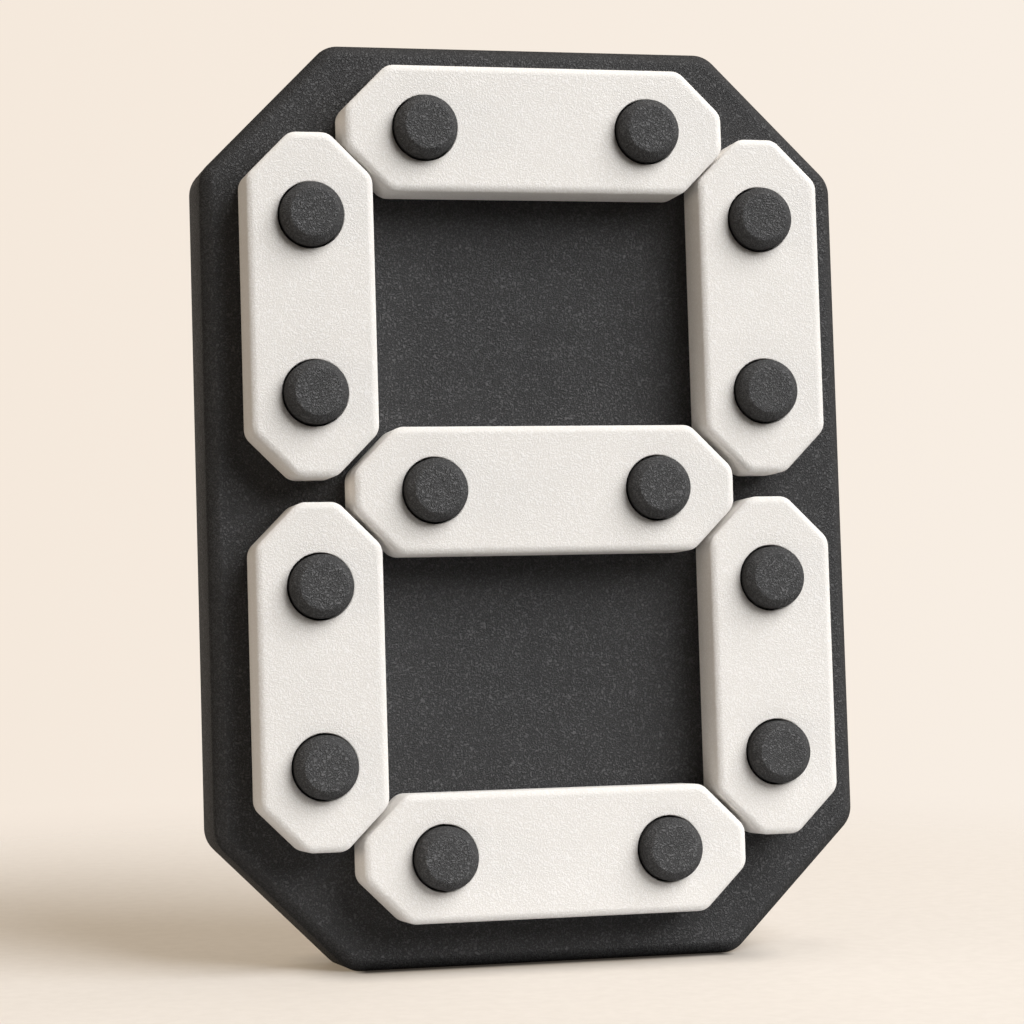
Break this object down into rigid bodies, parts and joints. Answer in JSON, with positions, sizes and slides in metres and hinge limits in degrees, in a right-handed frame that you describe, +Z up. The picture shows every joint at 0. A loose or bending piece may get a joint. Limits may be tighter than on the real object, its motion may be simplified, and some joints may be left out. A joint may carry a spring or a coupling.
{
  "type": "seven-segment number board",
  "caption": "Octagonal peg board that stands leaning back, with bevelled segment tiles that lift off round pegs to form digits.",
  "frame": {"origin": "under the middle of the part's box, on the level foot that the board stands on", "axes": "+Z up, front towards -Y, +X to the right seen from the front"},
  "size_m": [0.151, 0.0482, 0.2099],
  "materials": {
    "charcoal_board": "fine moulded grain, matte",
    "charcoal_peg": "fine moulded grain, matte",
    "off_white_tile": "fine moulded grain, matte",
    "screw_steel": "plain zinc-plated"
  },
  "bodies": {
    "board": {"front_shell": "charcoal_board", "back_cover": "charcoal_board", "cover_screw_1": "screw_steel", "cover_screw_2": "screw_steel", "cover_screw_3": "screw_steel", "cover_screw_4": "screw_steel", "cover_screw_5": "screw_steel", "cover_screw_6": "screw_steel", "cover_screw_7": "screw_steel", "cover_screw_8": "screw_steel", "peg_top_left": "charcoal_peg", "peg_top_right": "charcoal_peg", "peg_middle_left": "charcoal_peg", "peg_middle_right": "charcoal_peg", "peg_bottom_left": "charcoal_peg", "peg_bottom_right": "charcoal_peg", "peg_upper_left_high": "charcoal_peg", "peg_upper_left_low": "charcoal_peg", "peg_upper_right_high": "charcoal_peg", "peg_upper_right_low": "charcoal_peg", "peg_lower_left_high": "charcoal_peg", "peg_lower_left_low": "charcoal_peg", "peg_lower_right_high": "charcoal_peg", "peg_lower_right_low": "charcoal_peg", "peg_screw_top_left": "screw_steel", "peg_screw_top_right": "screw_steel", "peg_screw_middle_left": "screw_steel", "peg_screw_middle_right": "screw_steel", "peg_screw_bottom_left": "screw_steel", "peg_screw_bottom_right": "screw_steel", "peg_screw_upper_left_high": "screw_steel", "peg_screw_upper_left_low": "screw_steel", "peg_screw_upper_right_high": "screw_steel", "peg_screw_upper_right_low": "screw_steel", "peg_screw_lower_left_high": "screw_steel", "peg_screw_lower_left_low": "screw_steel", "peg_screw_lower_right_high": "screw_steel", "peg_screw_lower_right_low": "screw_steel"},
    "top_tile": {"tile_top": "off_white_tile"},
    "middle_tile": {"tile_middle": "off_white_tile"},
    "bottom_tile": {"tile_bottom": "off_white_tile"},
    "upper_left_tile": {"tile_upper_left": "off_white_tile"},
    "upper_right_tile": {"tile_upper_right": "off_white_tile"},
    "lower_left_tile": {"tile_lower_left": "off_white_tile"},
    "lower_right_tile": {"tile_lower_right": "off_white_tile"}
  },
  "joints": [
    {"name": "top_tile_lift", "type": "slide", "parent": "board", "child": "top_tile", "axis": [0, -0.9972, 0.075], "range_m": [0, 0.025]},
    {"name": "middle_tile_lift", "type": "slide", "parent": "board", "child": "middle_tile", "axis": [0, -0.9972, 0.075], "range_m": [0, 0.025]},
    {"name": "bottom_tile_lift", "type": "slide", "parent": "board", "child": "bottom_tile", "axis": [0, -0.9972, 0.075], "range_m": [0, 0.025]},
    {"name": "upper_left_tile_lift", "type": "slide", "parent": "board", "child": "upper_left_tile", "axis": [0, -0.9972, 0.075], "range_m": [0, 0.025]},
    {"name": "upper_right_tile_lift", "type": "slide", "parent": "board", "child": "upper_right_tile", "axis": [0, -0.9972, 0.075], "range_m": [0, 0.025]},
    {"name": "lower_left_tile_lift", "type": "slide", "parent": "board", "child": "lower_left_tile", "axis": [0, -0.9972, 0.075], "range_m": [0, 0.025]},
    {"name": "lower_right_tile_lift", "type": "slide", "parent": "board", "child": "lower_right_tile", "axis": [0, -0.9972, 0.075], "range_m": [0, 0.025]}
  ]
}
